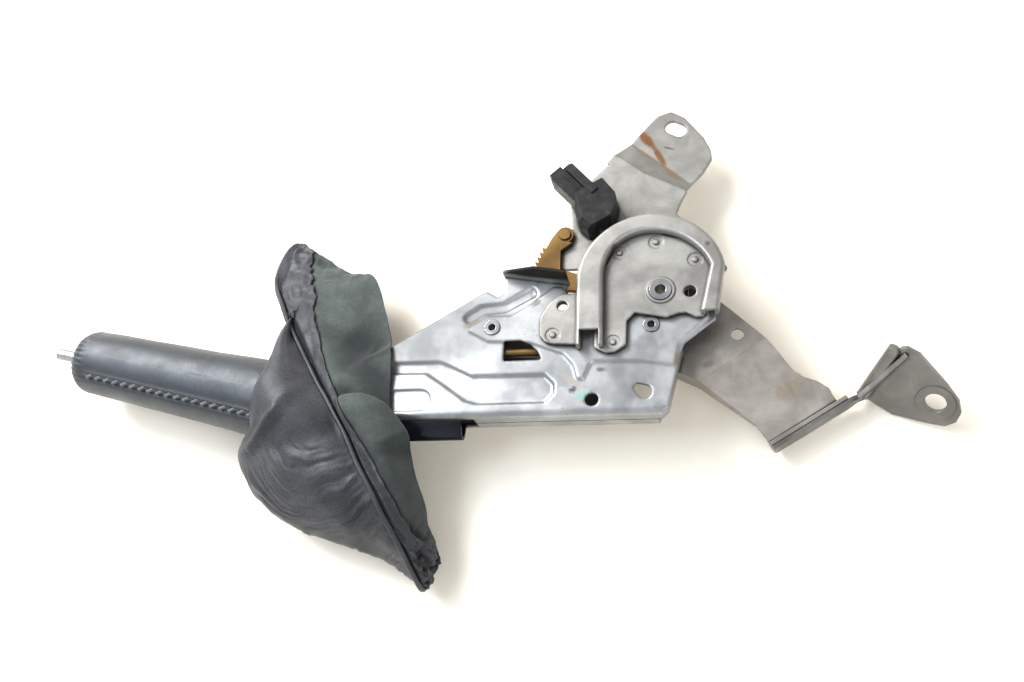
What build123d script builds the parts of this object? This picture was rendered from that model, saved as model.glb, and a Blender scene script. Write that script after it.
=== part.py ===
from build123d import *
import os
from math import atan2, cos, degrees, hypot, radians, sin

# Hand brake lever lying on its side, as it lies on a bench.
# Origin: centre of the lever pivot, in the middle plane of the lever blade.
# +X runs along the blade towards the fixing foot, +Y is up in the car, +Z is the axis of the pivot.

# Sheet thicknesses
blade_t = 1.6
bracket_t = 2.0
arm_t = 2.0
sector_t = 3.0
pawl_t = 3.0
boot_t = 2.0
skirt_t = 1.4

# Heights along the pivot axis
blade_face = 10.0            # outer face of the lower field of each blade half, from the middle plane
field_rise = 1.2             # how far the pivot field stands above the lower field
groove_depth = 1.6
lean = 48.0                  # degrees, how far the walls of a pressed field lean
seam_gap = 0.3               # from the middle plane to the lower rim of each blade half
edge_round = 3.4             # outer radius of the blade's lower edge
pad_depth = 1.0
plate_gap = 0.8              # from the blade to the pivot plate in front of it
ridge_rise = 5.0             # ridge above the pivot plate
ridge_round = 1.8
base_face = 1.5              # front face of the base plate, inside the blade
tab_drop = 10.0              # joggle of the upper tab

plate_back = blade_face + field_rise + plate_gap
plate_face = plate_back + bracket_t
ridge_top = plate_face + ridge_rise
base_back = base_face - bracket_t
arm_face = base_back
arm_back = arm_face - arm_t
rear_face = -blade_face - field_rise
washer_t = plate_gap
sector_back = base_face
sector_face = sector_back + sector_t
pawl_back = 0.8
pawl_face = pawl_back + pawl_t

# Pivot
pivot_bore = 5.4
pivot_od = 9.0
pivot_head = 11.0
pivot_head_t = 1.2
bush_wall = 1.5
run_gap = 0.05               # radial clearance of a running fit
bush_od = pivot_od + 2 * run_gap + 2 * bush_wall
bush_flange = 18.0
lever_travel = 24.0          # degrees

# Blade outline, measured from the pivot
blade_bottom = -63.0
blade_left = -172.0
neck_top = (blade_left, -43.5)
hump = (-92.0, 4.5)
head_r = 29.0
pawl_pin = (-86.0, -15.5)
spacer_pin = (-5.0, -17.2)
round_hole = (-34.6, -55.4)
cable_hole = (-8.7, -51.9)
cable_room = (-9.5, -46.0)   # wide hole of the rear half, in line with the cable hole
cable_room_r = 7.5
spring_hole = (14.5, -1.2)
flange_top = 25.0            # free edge of the outward flange
rivet_head = 8.0
rivet_shank = 5.4
rivet_bore = 3.8
rivet_head_t = 0.6

# Ratchet
tip_r = 70.4
tooth_depth = 2.2
tooth_pitch = 2.45           # degrees
first_tooth = 152.7          # degrees, the uppermost tooth
tooth_count = 12
lug = (-50.5, 39.0)
lug_r = 4.6
rivet_d = 4.0
tongue_hole = (-49.6, -6.2)
pips = [(-2.0, 27.0), (-20.6, 21.9), (17.4, 16.1), (-54.1, -22.0), (-23.8, -27.1)]
nose_gap = 0.3
nose_angle = 184.5
pawl_hub_r = 6.5
pin_arm = 12.5               # pivot of the pawl to the dog of the rod

# Handle
grip_slope = -13.4           # degrees, fall of the grip towards the blade
grip_knee = (-181.0, -53.6)  # the point on the axis of the grip that its lengths are measured from
tube_r = 11.0
tube_t = 1.5
tube_knee = (-164.6, -57.5)  # where the axis of the tube bends into the blade
tube_bend_r = 60.0
tube_flat = (14.2, 6.6)      # half width and half height where it lies flattened in the blade
flat_from = -156.5           # the round section starts to flatten here
flat_full = -142.0
tube_top_end = -126.0        # its end is cut on a slant, so that the rod gets out
tube_in_blade = -101.0
seat_gap = 0.1
grip_r = 17.2                # at the button end
grip_r_near = 21.0           # inside the boot
leather_t = 1.5
grip_length = 121.0
grip_round = 10.0
grip_start = 22.0            # knee to the near end of the grip
button_r = 4.0
button_out = 18.0
button_travel = 4.0
rod_r = 1.9
rod_y = -28.0
rod_z = 6.45
rod_end = -62.0
rod_seat = 6.0               # length of the rod inside the button


def face_of(points, radius=0.0):
    face = make_face(Polyline(*points, close=True))
    if radius:
        face = fillet(face.vertices(), radius)
    return face


def prism(face, z0, z1):
    return Pos(0, 0, z0) * extrude(face, z1 - z0)


def disc(at, r, z0, z1):
    return Pos(at[0], at[1], (z0 + z1) / 2) * Cylinder(r, z1 - z0)


def polar(r, angle):
    return (r * cos(radians(angle)), r * sin(radians(angle)))


def ring_rivet(at, z0, z1, head, shank, bore, head_t):
    body = disc(at, shank / 2, z0, z1)
    body += disc(at, head / 2, z1, z1 + head_t)
    body += disc(at, head / 2, z0 - head_t, z0)
    body = body - disc(at, bore / 2, z0 - 2 * head_t, z1 + 2 * head_t)
    return body


def pressed(outline, depth):
    # A field that stands this far over its outline, with walls that lean inwards.
    field = extrude(outline, depth, taper=lean)
    return field if field.center().Z > 0 else mirror(field, about=Plane.XY)


def emboss(sheet, outline, back, front, rise):
    # Presses a field of a flat sheet up, or down for a negative rise. Its leaning walls draw a little thinner.
    field = pressed(outline, abs(rise))
    if rise < 0:
        field = mirror(field, about=Plane.XY)
        return sheet + Pos(0, 0, back) * field - Pos(0, 0, front) * field
    return sheet + Pos(0, 0, front) * field - Pos(0, 0, back) * field


def pear_hole():
    wide = Pos(*cable_hole) * Circle(3.6)
    narrow = Pos(cable_hole[0] - 3.2, cable_hole[1] + 2.2) * Circle(2.2)
    return make_hull(wide.edges() + narrow.edges())


# Blade halves

def blade_outline():
    top_left = Line(neck_top, hump)
    pts = [hump, (-89.8, 5.4), (-84.3, 2.0), (-80.6, 3.5), (-80.6, 14.8), (-50.4, 8.9), (-46.6, 8.4),
           (-48.6, 5.0), (-48.0, 1.5), (-44.5, -0.5), (-40.0, -1.0)]
    rest = Polyline(*pts)
    head = [Line((-40.0, -1.0), (-28.6, 4.8)),
            ThreePointArc((-28.6, 4.8), (0, head_r), (26.8, -11.0)),
            Polyline((26.8, -11.0), (26.8, -15.2), (11.2, -27.3), (9.4, -31.5), (2.7, -60.0), (-0.5, blade_bottom),
                     (blade_left, blade_bottom), neck_top)]
    return make_face([top_left, rest] + head)


def pivot_field():
    return face_of([(-101.1, -16.2), (-88.3, -23.6), (-66.0, -25.2), (-58.2, -28.4), (-49.5, -31.8), (-44.6, -37.5),
                    (-42.4, -45.4), (-38.4, -45.4), (-34.4, -36.2), (-10.7, -37.1), (7.0, -40.0), (9.0, -28.5),
                    (24.0, -14.5), (20.0, 8.0), (0.0, 25.0), (-24.0, 7.0), (-43.0, -3.0), (-50.0, 6.0), (-55.0, 6.4),
                    (-70.0, -4.6), (-77.0, -8.6), (-89.1, -8.5)], 1.9)


def upper_groove():
    return face_of([(-103.4, -8.1), (-93.3, -1.5), (-81.2, -0.6), (-65.2, 8.3), (-61.8, 2.1), (-79.2, -7.4),
                    (-90.9, -8.3), (-99.6, -13.9)], 3.0)


def lower_groove():
    return face_of([(-150.0, -31.6), (-112.8, -31.9), (-107.4, -34.2), (-95.7, -40.2), (-58.1, -40.6), (-52.7, -46.0),
                    (-52.7, -51.7), (-57.7, -57.0), (-92.7, -57.0), (-99.3, -55.0), (-112.0, -45.4), (-120.2, -39.7),
                    (-150.0, -39.2)], 2.6)


def tube_pad():
    # The pad pressed down against the flattened tube.
    return Pos(-135.0, -53.2) * SlotOverall(38.0, 12.4)


def window():
    return face_of([(-79.8, -23.0), (-71.0, -23.0), (-65.8, -25.2), (-62.2, -29.0), (-60.0, -33.6), (-79.8, -33.6)],
                   1.0)


def half_shell(side):
    # side is 1 for the front half and -1 for the rear half, which is its mirror image.
    outline = blade_outline()
    back = blade_face - blade_t
    sheet = prism(outline, back, blade_face)
    rim = prism(outline, 0, blade_face) - prism(offset(outline, -blade_t), -1, blade_face + 1)
    keep_top = prism(face_of([(-180, -50), (-180, 20), (-84, 20), (-84, -8)]), 0, blade_face)
    keep_low = prism(face_of([(-180, -70), (20, -70), (20, -30), (5, -30), (-4, -55), (-180, -55)]), seam_gap,
                     blade_face)
    shell = sheet + (rim & keep_top) + (rim & keep_low)
    low_edge = shell.faces().sort_by(Axis.Y)[0].edges().sort_by(Axis.Z)[-1]
    shell = fillet(low_edge, edge_round)
    shell = emboss(shell, pivot_field(), back, blade_face, field_rise)
    if side > 0:
        shell = emboss(shell, upper_groove(), back, blade_face, -groove_depth)
        shell = emboss(shell, lower_groove(), back, blade_face, -groove_depth)
        shell = emboss(shell, tube_pad(), back, blade_face, -pad_depth)
    # Room for the handle tube: the rim is cut back along it, and ends in a round notch past its end.
    shell -= tube_solid(seat_gap, seat_gap)
    shell -= prism(face_of([(blade_left - 1, -80), (tube_in_blade - 1, -80), (tube_in_blade - 1, blade_bottom + 2),
                            (blade_left - 1, blade_bottom + 2)]), -1, blade_face - edge_round)
    shell -= disc((tube_in_blade + 3.0, blade_bottom), 3.5, -1, 6.0)
    # Holes
    z1 = blade_face + field_rise + 1
    shell -= disc((0, 0), bush_od / 2, 0, z1)
    shell -= disc(pawl_pin, rivet_shank / 2, 0, z1)
    shell -= disc(spacer_pin, rivet_shank / 2, 0, z1)
    shell -= disc(tongue_hole, 2.7, 0, z1)
    shell -= disc(round_hole, 3.4, 0, z1)
    if side > 0:
        shell -= prism(pear_hole(), 0, z1)
        shell -= prism(window(), 0, z1)
        shell -= disc(spring_hole, 3.2, 0, z1)
        shell += outward_flange()
    else:
        shell -= disc(cable_room, cable_room_r, 0, z1)
        shell -= prism(face_of([(-44.0, 20), (-80.8, 20), (-80.8, 3), (-44.0, -2.0)]), 0, z1)
        shell = shell & prism(face_of([(-300, -100), (-300, 100), (22, 100), (22, -1), (9, -13), (7, -18),
                                       (1.0, -45.0), (-2.5, -63.0), (-2.5, -100)]), -1, 40)
        shell = mirror(shell, about=Plane.XY)
    return shell


def outward_flange():
    # The stiffening flange stands up towards the front plate side and starts low at its left end.
    root_a = (-80.6, 14.8)
    root_b = (-46.6, 8.4)
    length = hypot(root_b[0] - root_a[0], root_b[1] - root_a[1])
    turn = degrees(atan2(root_b[1] - root_a[1], root_b[0] - root_a[0]))
    low = blade_face + 5
    profile = make_face(Polyline((0, blade_face - blade_t), (length, blade_face - blade_t), (length, flange_top),
                                 (18, flange_top), (0, low), close=True))
    wall = extrude(Plane.XZ * profile, blade_t)
    return Pos(root_a[0], root_a[1], 0) * Rot(0, 0, turn) * wall



# Front bracket: one pressing with the upper tab, the ridge, the pivot plate and its tongues

def ridge_outer():
    left = ThreePointArc((-42.0, 8.0), (-31.0, 30.5), (-2.0, 41.5))
    right = TangentArc((-2.0, 41.5), (32.0, 12.0), tangent=left % 1)
    legs = Polyline((32.0, 12.0), (28.5, -13.0), (28.5, -60.0), (-42.0, -60.0), (-42.0, 8.0))
    return make_face([left, right, legs])


def ridge_inner():
    left = ThreePointArc((-28.5, 9.0), (-21.0, 26.0), (-6.0, 32.0))
    right = TangentArc((-6.0, 32.0), (25.0, 11.0), tangent=left % 1)
    legs = Polyline((25.0, 11.0), (19.5, -14.0), (19.5, -60.0), (-28.5, -60.0), (-28.5, 9.0))
    return make_face([left, right, legs])


def pivot_plate():
    return face_of([(-30.0, 10.0), (-21.0, 28.0), (-6.0, 33.5), (15.0, 26.5), (26.5, 11.0), (21.0, -14.5),
                    (17.0, -15.0), (12.5, -12.4), (8.5, -12.6), (2.5, -14.6), (-13.0, -11.4), (-17.0, -15.6),
                    (-17.4, -28.4), (-23.0, -32.0), (-27.5, -32.3), (-33.0, -29.4), (-33.0, 0.0)], 0.6)


def left_tongue():
    return face_of([(-41.0, -27.4), (-54.0, -26.5), (-58.0, -25.4), (-60.7, -22.0), (-60.7, -12.0), (-56.0, -4.0),
                    (-50.0, 0.2), (-41.0, 0.5)], 0.8)


def base_plate():
    return face_of([(-53.5, 20.0), (-44.0, 20.0), (-36.0, 14.0), (28.0, 14.0), (33.5, 16.0), (26.0, 30.0),
                    (16.0, 40.0), (8.0, 49.5), (10.3, 55.7), (14.0, 63.0), (-8.5, 75.5), (-22.4, 87.0),
                    (-33.8, 76.0), (-43.0, 66.0), (-48.0, 58.0), (-47.4, 50.0), (-47.0, 43.6), (-52.5, 42.6), (-54.0, 37.0)], 1.0)


def ridge():
    wall = bracket_t
    outer = ridge_outer()
    inner = ridge_inner()
    ring = prism(outer, base_back, ridge_top) - prism(inner, base_back - 1, ridge_top + 1)
    ring = fillet(ring.faces().sort_by(Axis.Z)[-1].edges(), ridge_round)
    void = prism(offset(outer, -wall), base_back - 1, ridge_top - wall)
    void -= prism(offset(inner, wall), base_back - 2, ridge_top + 1)
    void = fillet(void.faces().sort_by(Axis.Z)[-1].edges(), ridge_round - wall / 2)
    ring -= void
    # The inner wall stops at the pivot plate, and the outer one at the tongue beside the left leg.
    ring -= prism(offset(inner, wall + 0.01), base_back - 1, plate_back)
    low_left = face_of([(-60.0, 19.5), (-10.0, 19.5), (-10.0, -80.0), (-60.0, -80.0)])
    low_right = face_of([(0.0, 14.0), (50.0, 14.0), (50.0, -80.0), (0.0, -80.0)])
    ring -= prism(low_left, base_back - 1, plate_back)
    ring -= prism(low_right, base_back - 1, plate_back)
    # The legs end open: the crest of the left one is cut back from its two walls.
    ring -= prism(face_of([(-80, -28.2), (-10, -30.5), (-10, -90), (-80, -90)]), 0, 40)
    ring -= prism(face_of([(-40.0, -21.5), (-30.5, -21.5), (-30.5, -90), (-40.0, -90)]), 0, 40)
    ring -= prism(face_of([(5, -14.2), (60, -12.6), (60, -90), (5, -90)]), 0, 40)
    return ring


pivot_ring_r = 7.2
pivot_ring_t = 0.6
pip_r = 1.4
pip_rise = 0.5
pip_dish_r = 3.8
pip_dish = 0.3


def front_bracket():
    plate = prism(pivot_plate(), plate_back, plate_face)
    tongue = prism(left_tongue(), plate_back, plate_face)
    base = prism(base_plate(), base_back, base_face)
    base -= prism(offset(ridge_outer(), -bracket_t / 2), base_back - 1, base_face + 1)
    body = ridge() + plate + tongue + base + upper_tab()
    body -= disc((0, 0), pivot_od / 2, 0, ridge_top)
    body -= disc(spring_hole, 3.15, 0, ridge_top)
    body -= disc(tongue_hole, 2.7, 0, ridge_top)
    body -= disc(lug, rivet_d / 2, base_back - 1, base_face + 1)
    body += disc((0, 0), pivot_ring_r, plate_face, plate_face + pivot_ring_t)
    body -= disc((0, 0), pivot_head / 2 + 0.1, plate_face, ridge_top)
    for at in pips:
        body -= disc(at, pip_dish_r, plate_face - pip_dish, ridge_top)
        body += disc(at, pip_r, plate_face - pip_dish, plate_face + pip_rise)
        body += disc(at, pip_r, plate_back - plate_gap + 0.1, plate_back)
    return body


def upper_tab():
    # The joggled tab, drawn as its side profile across the fold lines and trimmed to its outline.
    fold = Plane(origin=(-8.3, 73.5, 0), x_dir=(0.66, 0.751, 0), z_dir=(0.751, -0.66, 0))
    t = bracket_t
    top = base_face
    low = base_face - tab_drop
    side = Polyline((-6, top), (0, top), (15.0, low), (60, low), (60, low - t), (14.0, low - t), (-1.0, top - t),
                    (-6, top - t), close=True)
    strip = extrude(fold * make_face(side), 60, both=True)
    outline = face_of([(-9.0, 60.0), (9.0, 56.5), (12.0, 65.0), (15.5, 72.0), (22.5, 79.5), (27.2, 87.5),
                       (26.6, 93.0), (23.1, 101.1), (13.2, 114.6), (5.6, 119.3), (-1.9, 116.7), (-8.0, 110.0),
                       (-14.7, 102.1), (-22.8, 90.0), (-33.5, 77.4), (-30.0, 70.0)], 2.0)
    tab = strip & prism(outline, low - 10, top + 1)
    return tab - Pos(8.2, 108.0, 0) * Rot(0, 0, -30) * extrude(SlotOverall(12.5, 8.5), 30, both=True)


# Arm: a flat plate inside the blade that carries on as a sloping arm, with a stiffening flange below

crease = ((17.4, -43.8), (50.6, -22.0))
downhill = (0.549, -0.836)
arm_slope = 16.5 / 40.2


def rear_bracket():
    t = arm_t
    flat = face_of([(-12.0, 10.0), (-10.0, -7.0), (2.0, -11.0), (5.5, -20.0), (5.5, -37.8), crease[0], crease[1],
                    (29.4, -1.5), (20.0, 8.0), (13.0, 14.0), (7.0, 46.0), (3.0, 60.0), (-26.0, 66.0), (-22.0, 46.0)])
    body = prism(flat, arm_back, arm_face)
    body = fillet(body.edges().filter_by(Axis.Z).sort_by(Axis.Y)[-2:], 6.0)
    fold = Plane(origin=(crease[0][0], crease[0][1], arm_face), x_dir=(downhill[0], downhill[1], 0),
                 z_dir=(downhill[1], -downhill[0], 0))
    run = 60.0
    side = Polyline((0, 0), (run, -arm_slope * run), (run, -arm_slope * run - t), (0, -t), close=True)
    strip = extrude(fold * make_face(side), 90, both=True)
    slope = face_of([crease[0], (44.6, -63.5), (51.2, -72.6), (84.2, -50.6), (81.6, -47.0), (80.3, -44.3),
                     (74.4, -41.2), (67.9, -39.5), (63.1, -36.6), (55.4, -27.5), crease[1]])
    body += strip & prism(slope, -60, 10)
    # Stiffening flange under the lower edge, deep near the pivot and run out at the far end
    body += wall_along((5.5, -37.8), crease[0], [(0, arm_face), (1.06, arm_face), (1.06, -12.0), (0, -12.0)], t)
    body += wall_along(crease[0], (44.6, -63.5), [(0, arm_face), (1, arm_face - 14.4), (1, -16.0), (0, -12.0)], t)
    # Short flange turned down along the outer edge
    body += wall_along((51.2, -72.6), (89.2, -49.2), [(0, -16.6), (1, -16.6), (1, -23.0), (0.06, -25.0), (0, -22.0)],
                       t)
    body -= disc((0, 0), pivot_od / 2, arm_back - 1, arm_face + 1)
    body -= disc((36.9, -19.4), 3.2, arm_back - 1, arm_face + 1)
    return body - disc(lug, 3.4, arm_back - 1, arm_face + 1)


def wall_along(start, end, profile, t):
    # A wall that stands under the line from start to end: its profile is in shares of the length, and heights.
    length = hypot(end[0] - start[0], end[1] - start[1])
    turn = degrees(atan2(end[1] - start[1], end[0] - start[0]))
    points = [(share * length, z) for share, z in profile]
    wall = extrude(Plane.XZ * make_face(Polyline(*points, close=True)), -t)
    return Pos(start[0], start[1], 0) * Rot(0, 0, turn) * wall


# Foot bracket: a strip on the outside of the arm's end flange, turned up into the fixing tab

strip_from = (51.21, -72.62)
strip_dir = (0.852, 0.523)
foot_t = 2.5
foot_hole = (129.5, -53.2, -15.5)
foot_normal = (-0.35, -0.74, 0.575)
foot_hole_d = 10.5
bend_r = 3.2


def foot_bracket():
    turn = degrees(atan2(strip_dir[1], strip_dir[0]))
    profile = make_face(Polyline((0, -17.0), (46, -17.0), (49.5, -19.0), (56, -14.5), (75.0, 2.0), (73.0, -4.0),
                                 (53.5, -26.5), (48.5, -24.0), (44, -26.0), (2, -26.0), (0, -22.0), close=True))
    strip = Pos(strip_from[0], strip_from[1], 0) * Rot(0, 0, turn) * extrude(Plane.XZ * profile, foot_t)
    foot_plane = Plane(origin=foot_hole, x_dir=(0.9, -0.42, 0.0), z_dir=foot_normal)
    # The rounded bend between the strip and the tab
    low, high = Vector(97.0, -45.2, -24.0), Vector(111.0, -30.6, 1.0)
    bend = Plane(origin=low, z_dir=high - low) * extrude(Circle(bend_r), (high - low).length)
    return strip + bend + foot_plane * foot_tab()


def foot_tab():
    tab = face_of([(-31.0, -12.0), (-24.0, 22.0), (-21.5, 23.5), (-15.0, 22.5), (1.5, 11.5), (9.5, 5.0), (12.5, -1.0),
                   (12.0, -6.5), (8.0, -11.0), (0.0, -13.0), (-16.8, -15.5), (-25.6, -13.5)])
    tab = extrude(tab, -foot_t)
    tab += Pos(0, 0, 0.15) * Cylinder(9.5, 0.3)
    return tab - Cylinder(foot_hole_d / 2, 20)


# Ratchet

def ratchet_sector():
    last = first_tooth + tooth_pitch * (tooth_count - 1)
    root_r = tip_r - tooth_depth
    pts = [polar(tip_r, last + 6.0), polar(tip_r, last + 1.5)]
    for i in reversed(range(tooth_count)):
        angle = first_tooth + tooth_pitch * i
        pts += [polar(tip_r, angle), polar(root_r, angle - 0.2)]
    inner = [(-57.5, 37.0), (-46.5, 34.5), (-52.6, 30.0), (-52.6, 19.0), (-40.0, 14.5), (-12.0, 7.0), (-9.0, 0.0),
             (-9.0, -4.0), (-14.0, -1.5), (-40.0, 6.0), (-54.0, 7.0), (-58.5, -6.5)]
    body = prism(make_face(Polyline(*pts, *inner, close=True)), sector_back, sector_face)
    body += disc(lug, lug_r, sector_back, sector_face)
    body += prism(face_of([(-57.9, 36.6), (-54.0, 42.0), (-50.5, 39.0), (-50.0, 34.6)]), sector_back, sector_face)
    body += disc((0, 0), 10.0, sector_back, sector_face)
    body -= disc((0, 0), pivot_od / 2, sector_back - 1, sector_face + 1)
    return body - disc(lug, rivet_d / 2, sector_back - 1, sector_face + 1)


def sector_rivet():
    return disc(lug, rivet_d / 2, base_back, sector_face) + disc(lug, 3.0, sector_face, sector_face + 1.0) + \
        disc(lug, 3.0, base_back - 1.0, base_back)


def pawl():
    root = polar(tip_r + nose_gap, nose_angle)
    body = disc(pawl_pin, pawl_hub_r, pawl_back, pawl_face)
    nose = make_face(Polyline(root, polar(tip_r + nose_gap + 2.2, nose_angle + 3.0), (-80.0, -15.0),
                              (-88.0, -10.0), polar(tip_r + nose_gap + 4.5, nose_angle - 4.5),
                              polar(tip_r + nose_gap + 1.5, nose_angle - 2.0), close=True))
    body += prism(nose, pawl_back, pawl_face)
    x, y = pawl_pin
    tail = face_of([(x - 5.0, y), (x - 4.6, y - 18.0), (x + 4.6, y - 18.0), (x + 5.0, y)], 1.0)
    body += prism(tail, pawl_back, pawl_face)
    slot = Pos(x, y - pin_arm - 0.5, pawl_face) * Rot(0, 0, 90) * extrude(SlotOverall(6.4, 4.6), 20, both=True)
    body -= slot
    return body - disc(pawl_pin, rivet_shank / 2 + run_gap, pawl_back - 1, pawl_face + 1)


# Release rod, button and spring on the axis of the grip

slope = radians(grip_slope)
grip_dir = (-cos(slope), -sin(slope))


def grip_at(distance):
    # A point on the axis of the grip, at a distance from the knee of the tube.
    return (grip_knee[0] + grip_dir[0] * distance, grip_knee[1] + grip_dir[1] * distance, 0.0)


grip_near = grip_start
grip_far = grip_start + grip_length
tube_far = grip_far - 6.0
cap_t = 4.0
collar_d = tube_far - 12.0
spring_len = 26.0
stop_d = collar_d - spring_len


def axis_plane(distance):
    # Local z runs out along the grip, towards the button.
    return Plane(origin=grip_at(distance), x_dir=(0, 0, 1), z_dir=(grip_dir[0], grip_dir[1], 0))


def on_axis(shape, distance):
    return axis_plane(distance).location * shape


def tube_solid(grow, past):
    # The outer form of the tube, grown by a margin and run on past its end in the blade: round in the grip, bent at
    # the knee, flat in the blade.
    r = tube_r + grow
    path = FilletPolyline(grip_at(tube_far), (tube_knee[0], tube_knee[1], 0), (flat_from, tube_knee[1], 0),
                          radius=tube_bend_r)
    body = sweep(Plane(origin=path @ 0, z_dir=path % 0) * Circle(r), path=path)
    flat = Ellipse(tube_flat[0] + grow, tube_flat[1] + grow)
    round_end, flat_end = [Plane(origin=(x, tube_knee[1], 0), x_dir=(0, 1, 0), z_dir=(1, 0, 0))
                           for x in (flat_from, flat_full)]
    body += loft([round_end * Circle(r), flat_end * flat])
    return body + extrude(flat_end * flat, tube_in_blade + past - flat_full)


def handle_tube():
    body = tube_solid(0, 0) - tube_solid(-tube_t, 1.0)
    past = tube_in_blade + 1
    slant = face_of([(tube_top_end, -30), (tube_top_end + 9.0, -60.5), (past, -62.0), (past, -30)])
    return body - prism(slant, -2 * tube_r, 2 * tube_r)


def release_rod():
    points = [grip_at(collar_d + rod_seat), (tube_knee[0], tube_knee[1], 0.0), (-120.0, -50.5, 0.0),
              (-101.0, rod_y, rod_z), (rod_end, rod_y, rod_z)]
    path = FilletPolyline(*points, radius=[tube_bend_r, 14.0, 12.0])
    body = sweep(Plane(origin=path @ 0, z_dir=path % 0) * Circle(rod_r), path=path)
    pin = disc((pawl_pin[0], pawl_pin[1] - pin_arm), 2.0, pawl_back, rod_z)
    return body + pin


def release_button():
    length = grip_far - collar_d + button_out
    body = Pos(0, 0, length / 2) * Cylinder(button_r, length)
    body = fillet(body.faces().sort_by(Axis.Z)[-1].edges(), 1.2)
    body += Pos(0, 0, 1.5) * Cylinder(6.5, 3.0)
    body -= Pos(0, 0, rod_seat / 2) * Cylinder(rod_r, rod_seat)
    return on_axis(body, collar_d)


def button_spring():
    wire = 1.0
    mid = 4.6
    turns = 8
    length = spring_len - 0.4
    helix = Helix(pitch=(length - wire) / turns, height=length - wire, radius=mid)
    coil = sweep(Plane(origin=helix @ 0, z_dir=helix % 0) * Circle(wire / 2), path=helix)
    return on_axis(Pos(0, 0, wire / 2) * coil, stop_d + 0.2)


def button_bush():
    # The collar that closes the tube and guides the button.
    body = Pos(0, 0, -4) * Cylinder(tube_r - tube_t, 8) + Pos(0, 0, 1.5) * Cylinder(tube_r - 0.05, 3)
    body -= Cylinder(button_r + run_gap, 40)
    return on_axis(body, tube_far)


def spring_stop():
    body = Cylinder(tube_r - tube_t, 3.0) - Cylinder(rod_r + 1.0, 10)
    return on_axis(body, stop_d - 1.5)


def grip_solid(depth):
    # The grip's swelling form, with a rounded far end, this far under the leather's surface.
    length = grip_length + leather_t - depth
    body = Pos(0, 0, length / 2) * Cone(grip_r_near - depth, grip_r - depth, length)
    return fillet(body.faces().sort_by(Axis.Z)[-1].edges(), grip_round - depth)


def grip_core():
    return on_axis(grip_solid(leather_t) - Cylinder(tube_r, 3 * grip_length), grip_near)


def grip_leather():
    shell = grip_solid(0) - grip_solid(leather_t) - Cylinder(tube_r, 3 * grip_length)
    return on_axis(shell, grip_near)


# Boot: leather cone, seam cord and fabric skirt, as it lies flattened on the bench

boot_loops = [
    ((-213.5, -46.0, 0.0), (0.232, 0.973), 22.3, 22.3),
    ((-206.0, -56.0, -1.5), (0.05, 1.0), 42.0, 26.0),
    ((-191.0, -50.0, -4.0), (-0.2, 0.98), 68.0, 25.0),
    ((-160.0, -53.0, -4.5), (-0.43, 0.90), 103.0, 20.5),
]
skirt_loop = ((-136.0, -52.0, -5.0), (-0.27, 0.963), 79.0, 19.5)
piping_r = 1.5


def boot_section(loop, inset):
    (x, y, z), (dx, dy), half, height = loop
    plane = Plane(origin=(x, y, z), x_dir=(dx, dy, 0), z_dir=(dy, -dx, 0))
    return plane * Ellipse(half - inset, height - inset)


def boot_outer():
    return loft([boot_section(loop, 0) for loop in boot_loops])


def boot_leather():
    outer = boot_outer()
    inner = loft([boot_section(loop, boot_t) for loop in boot_loops])
    return outer - inner - on_axis(grip_solid(0), grip_near)


def boot_skirt():
    edge = boot_loops[-1]
    outer = loft([boot_section(edge, 0.3), boot_section(skirt_loop, 0)])
    inner = loft([boot_section(edge, 0.3 + skirt_t), boot_section(skirt_loop, skirt_t)])
    return outer - inner


def boot_piping():
    (x, y, z), (dx, dy), half, height = boot_loops[-1]
    past = piping_r + 0.2
    plane = Plane(origin=(x + dy * past, y - dx * past, z), x_dir=(dx, dy, 0), z_dir=(dy, -dx, 0))
    path = plane * Ellipse(half + piping_r - 0.6, height + piping_r + 0.4).edge()
    return sweep(Plane(origin=path @ 0, z_dir=path % 0) * Circle(piping_r), path=path)


# Switch

switch_turn = 30.0
switch_at = (-34.3, 50.5)
switch_h = 14.5
plug_turn = 11.5
plug_at = (-1.0, 8.0)


def switch_frame():
    return Pos(switch_at[0], switch_at[1], base_face) * Rot(0, 0, switch_turn)


def plug_frame():
    return Pos(plug_at[0], plug_at[1], 7.5) * Rot(0, 0, plug_turn)


def switch_body():
    block = face_of([(-4.1, 11.2), (11.6, 10.8), (13.1, -1.4), (8.2, -8.0), (4.6, -10.5), (-9.6, -10.5),
                     (-11.5, -3.6), (-9.8, 3.2)])
    block = prism(block, 0, switch_h)
    top = block.faces().sort_by(Axis.Z)[-1]
    block = chamfer(top.edges().sort_by(Axis.X)[:2], 3.0)
    block = chamfer(block.edges().filter_by(Axis.Z).sort_by(Axis.X)[-1:], 1.0)
    block -= Pos(-3.0, -10, 7) * Cylinder(1.6, 12, rotation=(90, 0, 0))
    plug = plug_frame()
    body = block + plug * Pos(0.3, 9.0, 0) * Box(13, 22, 11)
    # A raised rail with a stepped end runs along the right-hand side of the plug, and thin ribs beside it.
    body += plug * Pos(4.9, 7.5, 4.5) * Box(4.6, 21, 7)
    body += plug * Pos(-1.2, 20.0, -0.5) * Box(7.5, 6.0, 9)
    for i in range(3):
        body += plug * Pos(2.0 - 1.5 * i, 9.0, 5.7) * Box(0.6, 20, 0.8)
    body -= plug * Pos(-0.2, 14.5, -0.5) * Box(6.0, 19, 6.5)
    return switch_frame() * body


def switch_terminals():
    pins = [plug_frame() * Pos(x, 9.0, -0.5) * Box(0.8, 8, 2.2) for x in (-1.7, 1.3)]
    return switch_frame() * Compound(pins)


def switch_plunger():
    body = Pos(-3.0, -10.1, 7) * Cylinder(1.5, 7.8, rotation=(90, 0, 0))
    return switch_frame() * body


def pivot_tube():
    z0 = rear_face - washer_t
    z1 = plate_face
    return ring_rivet((0, 0), z0, z1, pivot_head, pivot_od, pivot_bore, pivot_head_t)


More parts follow.
